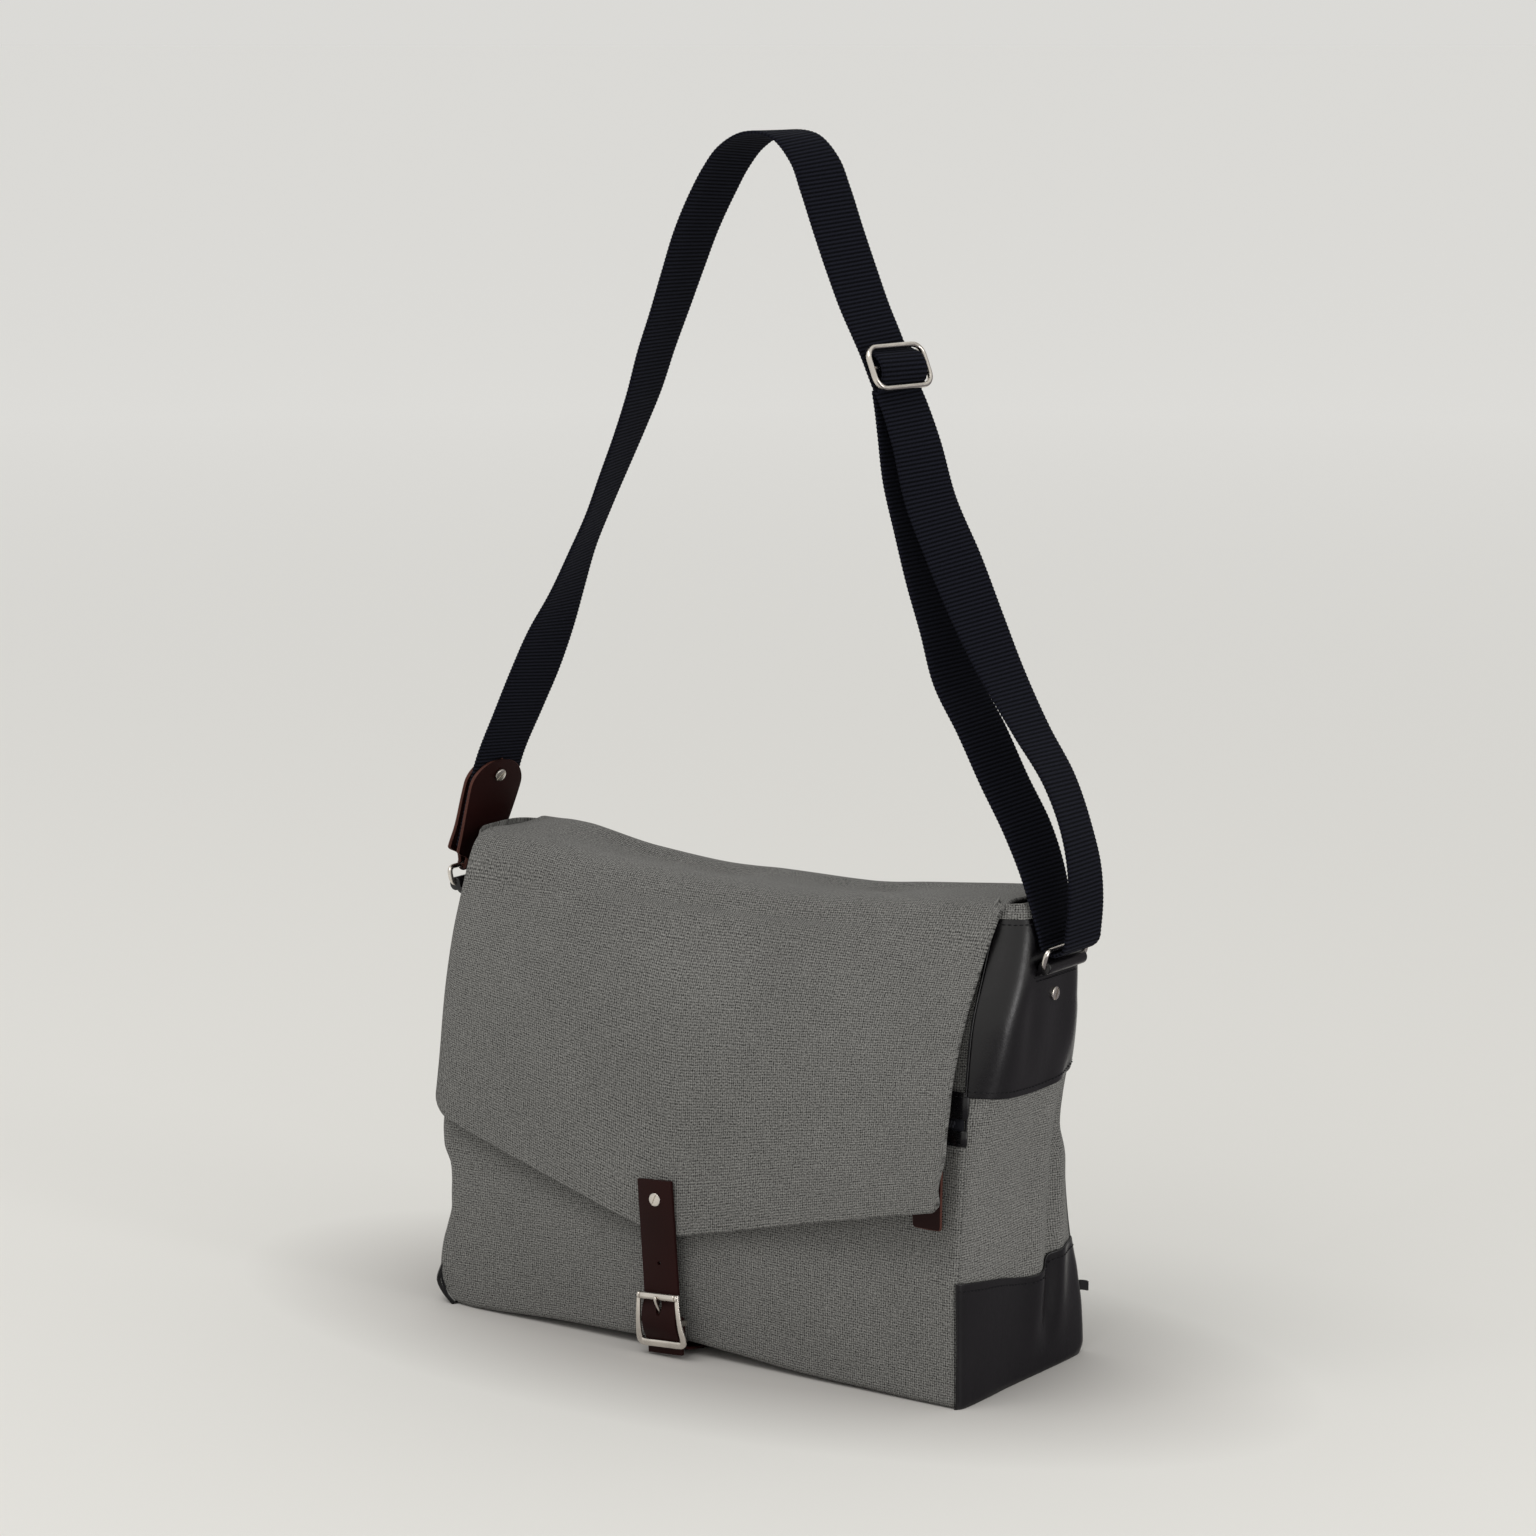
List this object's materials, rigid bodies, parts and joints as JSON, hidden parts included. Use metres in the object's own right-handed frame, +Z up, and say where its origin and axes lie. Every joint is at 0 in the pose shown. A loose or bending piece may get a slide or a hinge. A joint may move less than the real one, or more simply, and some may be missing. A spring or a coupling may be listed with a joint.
{
  "type": "messenger bag",
  "caption": "Canvas messenger bag with leather patches, full flap closed by a roller buckle, front zip pocket and adjustable webbing shoulder strap.",
  "frame": {"origin": "middle of the underside of the base, where the bag rests", "axes": "+X to the wearer's right when looking at the front, +Y to the rear, +Z up"},
  "size_m": [0.4555, 0.1707, 0.729],
  "materials": {
    "canvas_grey": "coarse woven cotton canvas, matt",
    "leather_navy": "smooth navy leather, satin",
    "leather_brown": "dark brown bridle leather, satin, reddish raw edges",
    "webbing_navy": "ribbed navy cotton webbing",
    "nickel": "polished nickel",
    "nylon_navy": "smooth navy nylon tape",
    "coil_black": "black nylon zip coil",
    "board": "stiffener board",
    "label_black": "plain black woven tape"
  },
  "bodies": {
    "root": {"front_panel": "canvas_grey", "pocket_panel": "canvas_grey", "zip_tape": "nylon_navy", "zip_teeth": "coil_black", "back_panel": "canvas_grey", "gusset_right": "canvas_grey", "gusset_left": "canvas_grey", "top_patch_right": "leather_navy", "top_patch_left": "leather_navy", "base_patch_right": "leather_navy", "base_patch_left": "leather_navy", "rim_binding_right": "canvas_grey", "rim_binding_left": "canvas_grey", "base_panel": "leather_navy", "base_board": "board", "label_tab": "label_black", "anchor_patch": "leather_brown", "ring_loop_right": "leather_navy", "ring_loop_left": "leather_navy", "loop_screw_right": "nickel", "loop_screw_left": "nickel"},
    "zip_slide": {"zip_slider": "nickel"},
    "zip_tag": {"zip_pull": "leather_brown", "zip_pull_screw": "nickel"},
    "flap_top": {"flap_top": "canvas_grey", "flap_top_facing": "canvas_grey"},
    "flap_front": {"flap_front": "canvas_grey", "flap_front_facing": "canvas_grey", "billet_top": "leather_brown", "billet_screw": "nickel"},
    "closure": {"billet": "leather_brown", "anchor_strap": "leather_brown", "buckle_frame": "nickel"},
    "roller": {"buckle_roller": "nickel"},
    "prong": {"buckle_prong": "nickel"},
    "strap": {"strap_tab": "leather_brown", "strap_tab_screw": "nickel", "strap_left": "webbing_navy", "strap_top": "webbing_navy", "strap_right": "webbing_navy", "strap_outer": "webbing_navy", "strap_turn": "webbing_navy", "strap_inner": "webbing_navy"},
    "slider": {"strap_slider": "nickel", "strap_hump": "webbing_navy"},
    "ring_right": {"ring_right": "nickel"},
    "ring_left": {"ring_left": "nickel"}
  },
  "joints": [
    {"name": "flap_hinge", "type": "hinge", "parent": "root", "child": "flap_top", "pos_m": [0, 0.037, 0.2935], "axis": [-1, 0, 0], "range_deg": [0, 180]},
    {"name": "flap_fold", "type": "hinge", "parent": "flap_top", "child": "flap_front", "pos_m": [0, -0.031, 0.296], "axis": [-1, 0, 0], "range_deg": [0, 150]},
    {"name": "closure_flex", "type": "hinge", "parent": "flap_front", "child": "closure", "pos_m": [-0.01424, -0.0831, 0.07], "axis": [-0.9976, 0, -0.0698], "range_deg": [0, 60]},
    {"name": "roller_spin", "type": "hinge", "parent": "closure", "child": "roller", "pos_m": [-0.012, -0.0858, 0.038], "axis": [0.9976, 0, 0.0698], "continuous": true},
    {"name": "prong_pivot", "type": "hinge", "parent": "closure", "child": "prong", "pos_m": [-0.01088, -0.0802, 0.02204], "axis": [0.9976, 0, 0.0698], "range_deg": [0, 12]},
    {"name": "strap_swing", "type": "hinge", "parent": "root", "child": "strap", "pos_m": [0, 0, 0.2565], "axis": [1, 0, 0], "range_deg": [-75, 75], "deforming": ["strap_left", "strap_top", "strap_right", "strap_outer", "strap_turn", "strap_inner", "ring_loop_right", "ring_loop_left"]},
    {"name": "slider_adjust", "type": "slide", "parent": "strap", "child": "slider", "axis": [0.4017, -0.0636, -0.9135], "range_m": [-0.02, 0.02]},
    {"name": "ring_right_tilt", "type": "hinge", "parent": "strap", "child": "ring_right", "pos_m": [0.2193, 0, 0.2671], "axis": [0, 1, 0], "range_deg": [-8, 8]},
    {"name": "ring_left_tilt", "type": "hinge", "parent": "strap", "child": "ring_left", "pos_m": [-0.2193, 0, 0.2671], "axis": [0, -1, 0], "range_deg": [-8, 8]},
    {"name": "zip_open", "type": "slide", "parent": "root", "child": "zip_slide", "axis": [-1, 0, 0], "range_m": [0, 0.32]},
    {"name": "zip_pull_swing", "type": "hinge", "parent": "zip_slide", "child": "zip_tag", "pos_m": [0.172, -0.06795, 0.164], "axis": [-1, 0, 0], "range_deg": [0, 12]}
  ]
}
